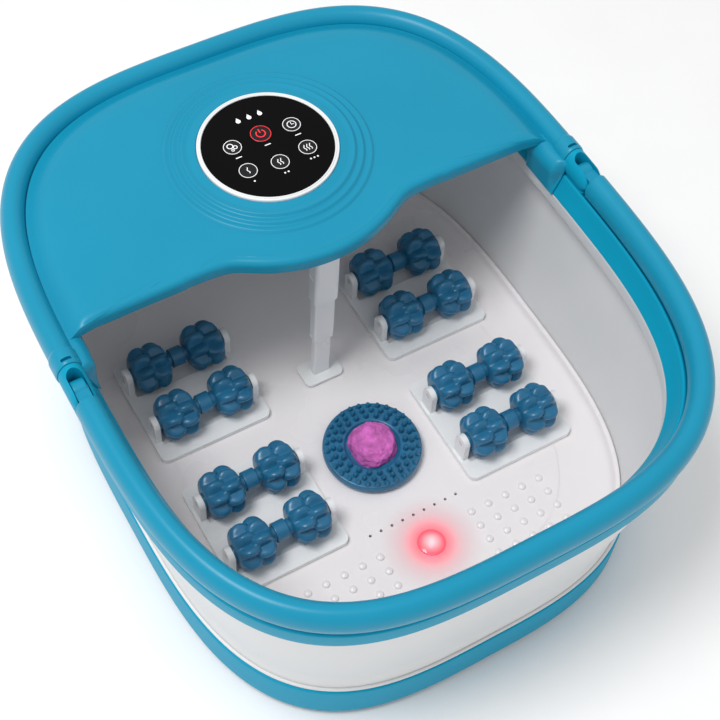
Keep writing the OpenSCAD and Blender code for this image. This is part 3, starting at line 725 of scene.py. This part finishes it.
def cover_tab(side):
    """Cheek of the cover ahead of the lip: a flat top beside the bead and a skin on the slope."""
    rows = []
    count = 48
    for i in range(count + 1):
        t = i / count
        y = ARM_Y - 3.6 + (FRONT_Y + 4 - ARM_Y + 3.6) * t ** 1.4
        # The top narrows to the front and is rounded off at its end
        ahead = max(0.0, y - (ARM_Y - 3.6))
        wide = CHEEK - 1.2 * (1 - min(1.0, ahead / 16)) - 9.0 * (1 - min(1.0, ahead / 6.0)) ** 2
        level = COVER_Z - 7.2
        section = rounded([
            (13.4, level - 0.5), (max(14.4, wide - 5), level - 0.2, 4.0),
            (max(15.6, wide), level - 6, 4.0),
            (max(17.8, wide - 0.6), 167.5, 5.0), (22.4, 157.2)
        ], 1.5, closed=False)
        row = []
        for q in section:
            x = (RIM[0] - q.x) * (1 - abs(y / (RIM[1] - q.x)) ** POWER) ** (1 / POWER)
            row.append((side * x, y, q.y))
        rows.append(row)
    return thickened("cover_tab", rows, 0.9)


def thickened(name, rows, wall):
    """Sheet through rows of points, given a wall thickness."""
    skin = mesh(name, *strip(rows, closed_rings=False, closed_path=False), sharp=60)
    thick = skin.modifiers.new("thickness", "SOLIDIFY")
    thick.thickness = wall * MM
    thick.offset = 0
    graph = bpy.context.evaluated_depsgraph_get()
    skin.data = bpy.data.meshes.new_from_object(skin.evaluated_get(graph))
    skin.modifiers.clear()
    return skin


def panel_rings():
    """Low stepped rings round the panel."""
    z = COVER_Z + 0.3
    section = [(67.0, z - 1.2), (65.9, z, 0.6)]
    for r, rise in ((64.2, 1.5), (58.9, 2.7), (53.6, 3.9)):
        section += [(r, z + rise, 0.7), (r - 3.4, z + rise - 1.0, 1.0)]
    section += [(LENS_R + 3.8, z + 3.8, 0.5), (LENS_R + 3.2, z + 3.0), (LENS_R + 3.2, z - 3)]
    section = rounded(section, 0.5, closed=False)
    return lathe("panel_rings", section, (0, PANEL_Y), 160, closed=False)


def cover():
    """Cover in one piece: top, bead, rings and the two cheeks."""
    parts = [cover_top(), cover_bead(), panel_rings(), cover_tab(-1), cover_tab(1)]
    whole = join("cover_hood", parts)
    finish_piece(whole, "rim", CYAN, ["cover"])


# ---- Panel ----

def panel():
    """White bezel round the black lens."""
    z = LENS_Z
    bezel = rounded([
        (LENS_R + 0.2, z - 6), (LENS_R + 0.2, z - 0.1, 0.2), (LENS_R + 0.5, z + 0.5, 0.3),
        (LENS_R + 1.3, z + 0.5, 0.3), (LENS_R + 1.45, z - 0.3, 0.1), (LENS_R + 1.75, z - 0.3, 0.1),
        (LENS_R + 1.9, z + 0.3, 0.3), (LENS_R + 2.9, z + 0.2, 0.5), (LENS_R + 3.1, z - 0.9, 0.3),
        (LENS_R + 3.1, z - 6)
    ], 0.4)
    ring = lathe("bezel", bezel, (0, PANEL_Y), 160)
    finish_piece(ring, "rim", WHITE, ["panel_bezel"])


def build_keys():
    """Glossy domed keys with a printed ring and a picture on each."""
    marks = {
        "bubble": bubbles, "power": power_mark, "timer": clock_mark,
        "heat_low": lambda r: waves(r, 1), "heat_mid": lambda r: waves(r, 2),
        "heat_high": lambda r: waves(r, 3)
    }
    for name, draw in marks.items():
        node = f"key_{name}"
        low, high = (Vector(c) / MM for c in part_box(node))
        centre = (low + high) / 2
        flange = 1.0
        r = (high.x - low.x) / 2 - flange
        top = high.z
        section = rounded([
            (0.01, top - 0.22), (r * 0.55, top - 0.2, 1.2), (r - 0.5, top, 0.4),
            (r, top - 0.4, 0.3), (r, top - 2.6), (r - 1, top - 2.6)
        ], 0.4, closed=False)
        cap = lathe(f"{node}_cap", section, centre[:2], 64, closed=False)
        body = f"button_{name}"
        finish_piece(cap, body, KEY, [node])
        colour = RED_PRINT_PAINTED_GLOW if name == "power" else WHITE_PRINT_PAINTED_GLOW
        lines = [(circle(0, 0, r - 0.55, 64), 0.42, True)] + draw(r)
        parts = []
        for points, width, closed in lines:
            moved = [(centre.x + x, centre.y + y) for x, y in points]
            parts.append(ribbon(moved, width, top, closed))
        finish_piece(join(f"{node}_print", parts), body, colour)


def arc(x, y, r, a0, a1, steps=28):
    """Points along an arc between two angles in degrees."""
    angles = [radians(a0 + (a1 - a0) * i / steps) for i in range(steps + 1)]
    return [(x + r * cos(a), y + r * sin(a)) for a in angles]


def bubbles(r):
    """Picture on the bubble key, as lines of (points, width, closed)."""
    return [
        (circle(-0.18 * r, 0.2 * r, 0.3 * r), 0.1 * r, True),
        (circle(0.26 * r, -0.12 * r, 0.2 * r), 0.09 * r, True),
        (circle(-0.12 * r, -0.38 * r, 0.13 * r), 0.08 * r, True)
    ]


def power_mark(r):
    """Picture on the power key."""
    return [
        (arc(0, 0, 0.42 * r, 125, 415), 0.11 * r, False),
        ([(0, 0.08 * r), (0, 0.56 * r)], 0.11 * r, False)
    ]


def clock_mark(r):
    """Picture on the timer key."""
    return [
        (circle(0, 0, 0.46 * r), 0.09 * r, True),
        ([(0, 0.3 * r), (0, 0), (0.26 * r, 0)], 0.09 * r, False)
    ]


def waves(r, count):
    """Picture on a heat key: one to three wavy lines."""
    lines = []
    for k in range(count):
        x0 = (k - (count - 1) / 2) * 0.32 * r
        line = [
            (x0 + 0.07 * r * sin(2 * pi * t / 12), -0.4 * r + 0.8 * r * t / 16) for t in range(17)
        ]
        lines.append((line, 0.09 * r, False))
    return lines


def panel_marks():
    """Dots and dashes under the keys and three plain drops over them, in place of words."""
    z = LENS_Z
    parts = []
    counts = {"heat_low": 1, "heat_mid": 2, "heat_high": 3, "bubble": 1, "power": 1, "timer": 1}
    for key, count in counts.items():
        c = middle(f"key_{key}")
        low, high = (Vector(v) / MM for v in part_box(f"key_{key}"))
        y = low.y - 1.6
        for k in range(count):
            x = c.x + (k - (count - 1) / 2) * 2.4
            wide = 1.5 if key in ("bubble", "power", "timer") else 0.0
            parts.append(mesh("dot", *disc_face(x, y, 0.62, z + 0.05, wide)))
    for k in (-1, 0, 1):
        parts.append(mesh("drop", *drop_face(7.5 * k, PANEL_Y + 0.62 * LENS_R, 2.6, z + 0.05)))
    finish_piece(join("panel_marks", parts), "rim", WHITE_PRINT_PAINTED_GLOW)


def disc_face(x, y, r, z, stretch=0.0, steps=20):
    """Flat dot, drawn out along X into a dash where it has a stretch."""
    loop = []
    for i in range(steps):
        c, s = cos(2 * pi * i / steps), sin(2 * pi * i / steps)
        end = stretch if c > 0 else -stretch
        loop.append((x + r * c + end, y + r * s * (0.6 if stretch else 1), z))
    return loop, [tuple(range(steps))]


def drop_face(x, y, size, z, steps=33):
    """Flat drop with its tip to the rear."""
    loop = []
    for i in range(steps):
        a = 2 * pi * i / steps
        tip = max(0.0, sin(a)) ** 3
        across = size * 0.6 * cos(a) * (1 - 0.75 * tip)
        loop.append((x + across, y + size * (0.6 * sin(a) + 0.55 * tip), z))
    return loop, [tuple(range(steps))]


# ---- Rollers, disc and stone ----

def wheel_skin(centre, steps=128):
    """One lobed massage wheel on a horizontal axis, with two staggered rows of rounded lobes."""
    rows = []
    half = 12.5
    spots = [-1, -0.97, -0.9, -0.8, -0.68, -0.55, -0.42, -0.28, -0.14, 0]
    spots += [-s for s in reversed(spots[:-1])]
    for s in spots:
        x = s * half
        core = 11.4 * (1 - 0.16 * abs(s) ** 4)
        core *= 1.0 if abs(s) < 1 else 0.86
        row = []
        for i in range(steps):
            a = 2 * pi * i / steps
            rise = 0.0
            for place, phase in ((-0.42, 0.0), (0.42, pi / 8)):
                along = max(0.0, 1 - ((s - place) / 0.52) ** 2)
                lobe = (0.5 + 0.5 * cos(8 * (a - phase))) ** 0.8
                rise = max(rise, 4.7 * along ** 0.5 * lobe)
            r = core + rise
            row.append((centre[0] + x, centre[1] + r * cos(a), centre[2] + r * sin(a)))
        rows.append(row)
    ends = []
    bore = 5.2
    for s in (-1, 1):
        loop = []
        for i in range(steps):
            a = 2 * pi * i / steps
            loop.append((centre[0] + s * half, centre[1] + bore * cos(a), centre[2] + bore * sin(a)))
        ends.append(loop)
    points, faces = strip([ends[0]] + rows + [ends[1]], closed_path=False)
    return mesh("wheel", points, faces, 60)


def rollers():
    """Two lobed wheels with a sleeve and a hub on each axle."""
    for tray in TRAYS:
        for row in ("a", "b"):
            node = f"roller_{tray}_{row}"
            c = middle(node)
            parts = [wheel_skin((c.x + s * 19.5, c.y, c.z)) for s in (-1, 1)]
            sleeve = rounded([(-33.1, 2.1), (-33.1, 5.0, 0.6), (33.1, 5.0, 0.6), (33.1, 2.1)], 0.5,
                             closed=False)
            parts.append(cross_lathe("sleeve", sleeve, c, 40))
            hub = rounded([(-4.5, 4.0), (-4.5, 6.6, 0.8), (4.5, 6.6, 0.8), (4.5, 4.0)], 0.6,
                          closed=False)
            parts.append(cross_lathe("hub", hub, c, 40))
            finish_piece(join(f"massage_roller_{tray}_{row}", parts), f"wheels_{tray}_{row}", BLUE,
                         [node])


def brush_disc():
    """Round disc with rings of soft bristle tips round the seat of the stone."""
    low, high = (Vector(v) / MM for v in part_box("brush_disc"))
    z = FLOOR_Z + 0.3
    r = (high.x - low.x) / 2
    section = rounded([
        (4.2, z - 1.6), (5.9, z - 1.6, 0.3), (5.9, z, 0.3), (r - 2, z, 0.8), (r, z + 3.4, 1.2),
        (r - 0.6, z + 8, 1.4), (18.6, z + 8, 1.0), (17.6, z + 6.2, 0.8), (4.2, z + 6.0)
    ], 0.8)
    parts = [lathe("disc_body", section, DISC[:2], 120)]
    rings = ((30, r - 3.0, 1.75, 4.2), (26, r - 7.0, 1.75, 5.0), (20, r - 11.2, 1.9, 5.4))
    for count, radius, size, rise in rings:
        for i in range(count):
            a = 2 * pi * (i + 0.5 * (count % 4) / 2) / count
            tip = rounded([
                (size, z + 7.4), (size * 0.86, z + 7.6 + rise * 0.7, 1.2),
                (0.01, z + 8 + rise * 0.95)
            ], 1.3, closed=False)
            spot = (DISC.x + radius * cos(a), DISC.y + radius * sin(a))
            parts.append(lathe("tip", tip, spot, 14, closed=False))
    finish_piece(join("bristle_disc", parts), "disc", BLUE, ["brush_disc"])


def pumice():
    """Rough stone: a rounded puck pushed in and out by noise."""
    low, high = (Vector(v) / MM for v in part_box("pumice_stone"))
    z0, z1 = DISC.z - 0.3, high.z
    centre = Vector((DISC.x, DISC.y, z0))
    tall = z1 - z0
    rings = []
    rows, steps = 44, 110
    for j in range(rows + 1):
        t = j / rows
        a = -0.2 + (pi / 2 + 0.2) * t
        ring = []
        wide = cos(a) ** 0.75 if cos(a) > 0 else 0
        for i in range(steps):
            b = 2 * pi * i / steps
            d = Vector((wide * cos(b), wide * sin(b), sin(a)))
            p = Vector((d.x * 16.2, d.y * 16.2, d.z * tall * 0.93))
            big = noise.noise(p * 0.16 + Vector((3, 1, 7)))
            small = noise.noise(p * 0.5)
            pits = max(0.0, noise.noise(p * 0.95 + Vector((9, 4, 2))) - 0.15)
            p *= 1 + 0.09 * big + 0.035 * small - 0.09 * pits
            p.z = min(p.z, tall)
            ring.append(tuple(centre + p))
        rings.append(ring)
    points, faces = strip(rings, closed_path=False)
    faces.append(tuple(range(steps)))
    stone = mesh("foot_stone", points, faces, 80)
    finish_piece(stone, "stone", MAGENTA, ["pumice_stone"])


# ---- Small CAD nodes that keep their shape ----

KEPT = {
    WHITE: ["post_lower", "post_middle", "post_upper", "cover_liner", "air_channel"]
           + [f"cassette_{t}" for t in TRAYS],
    CYAN: ["bottom_cover"],
    BLACK: ["panel_lens"],
    RUBBER: ["rubber_feet", "pump_mounts", "cord_gland", "post_gasket"],
    DARK: ["air_pump"],
    STEEL: ["base_screws", "cover_screws", "pivot_pins", "temperature_probe"]
           + [f"axles_{t}" for t in TRAYS],
    ALUMINIUM: ["heater_plate"],
    BOARD: ["power_board", "light_board", "control_board"],
    HOSE: ["air_hose"],
    GLOW: ["light_lens"],
}


def dress_kept_nodes():
    """Gives each CAD node that is shown as it is its material."""
    for look, names in KEPT.items():
        for name in names:
            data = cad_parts[name].data
            data.materials.clear()
            data.materials.append(look)


# ---- Camera, light and floor ----

def camera():
    """Looks down from the front left."""
    place = Vector((-0.28738, -0.44722, 0.89416))
    azimuth, height, roll = radians(-33.89), radians(56.45), radians(4.93)
    back = Vector((sin(azimuth) * cos(height), -cos(azimuth) * cos(height), sin(height)))
    right = Vector((cos(azimuth), sin(azimuth), 0))
    up = back.cross(right)
    turned = right * cos(roll) + up * sin(roll)
    top = up * cos(roll) - right * sin(roll)
    eye = bpy.data.cameras.new("camera")
    eye.sensor_width = 36
    eye.lens = 74.9
    thing = bpy.data.objects.new("camera", eye)
    thing.matrix_world = Matrix((
        (turned.x, top.x, back.x, place.x),
        (turned.y, top.y, back.y, place.y),
        (turned.z, top.z, back.z, place.z),
        (0, 0, 0, 1)
    ))
    bpy.context.scene.collection.objects.link(thing)
    bpy.context.scene.camera = thing


def area_light(name, place, target, size, power):
    """Round soft lamp that faces a target; places in metres, power in watts."""
    lamp = bpy.data.lights.new(name, "AREA")
    lamp.shape = "DISK"
    lamp.size = size
    lamp.energy = power
    thing = bpy.data.objects.new(name, lamp)
    thing.location = place
    aim = Vector(target) - Vector(place)
    thing.rotation_euler = aim.to_track_quat("-Z", "Y").to_euler()
    bpy.context.scene.collection.objects.link(thing)


def floor_light():
    """Lit lens with a pale core, and a red glow painted into the tub floor's colour round it."""
    low, high = (Vector(v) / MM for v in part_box("light_lens"))
    centre = (LIGHT.x, LIGHT.y, high.z)
    core = [
        (0.0, (1.0, 0.75, 0.76)), (3.0, (1.0, 0.5, 0.53)), (7.0, (1.0, 0.1, 0.15)),
        (10.0, (0.9, 0.03, 0.07))
    ]
    shade_by_distance(GLOW, centre, core, "Emission Color")
    # Painted light: a pool of red glow painted into the floor's base colour, red at the lens and
    # white by 34 mm out
    painted_red_glow = [
        (0.0, (1.0, 0.12, 0.18)), (9.0, (1.0, 0.2, 0.26)), (18.0, (1.0, 0.7, 0.73)),
        (34.0, (1.0, 1.0, 1.0))
    ]
    shade_by_distance(TUB_FLOOR_PAINTED_GLOW, centre, painted_red_glow, "Base Color")
    lamp = bpy.data.lights.new("floor_light", "SPOT")
    lamp.energy = 0.02
    lamp.color = (1.0, 0.06, 0.1)
    lamp.spot_size = radians(120)
    lamp.spot_blend = 1.0
    lamp.shadow_soft_size = 0.004
    thing = bpy.data.objects.new("floor_light", lamp)
    thing.location = (0, LIGHT.y * MM, (high.z + 13) * MM)
    bpy.context.scene.collection.objects.link(thing)


def studio():
    """Pale floor, even white surroundings and one soft lamp."""
    far = 3000
    ground = mesh("ground", [(-far, -far, 0), (far, -far, 0), (far, far, 0), (-far, far, 0)],
                  [(0, 1, 2, 3)])
    ground.data.materials.append(material("ground", (0.97, 0.97, 0.97), rough=0.7, tint=0.01))
    world = bpy.data.worlds.new("studio")
    world.use_nodes = True
    world.node_tree.nodes["Background"].inputs["Color"].default_value = (1, 1, 1, 1)
    world.node_tree.nodes["Background"].inputs["Strength"].default_value = 0.62
    bpy.context.scene.world = world
    area_light("key", (-0.85, 0.0, 2.15), (0, 0, 0.1), 0.9, 28)
    bpy.context.scene.view_settings.view_transform = "Standard"


camera()
studio()
floor_light()
base_band()
flexible_wall()
wall_piping()
tub_floor()
rim_parts()
handle()
cover()
panel()
build_keys()
panel_marks()
rollers()
brush_disc()
pumice()
dress_kept_nodes()
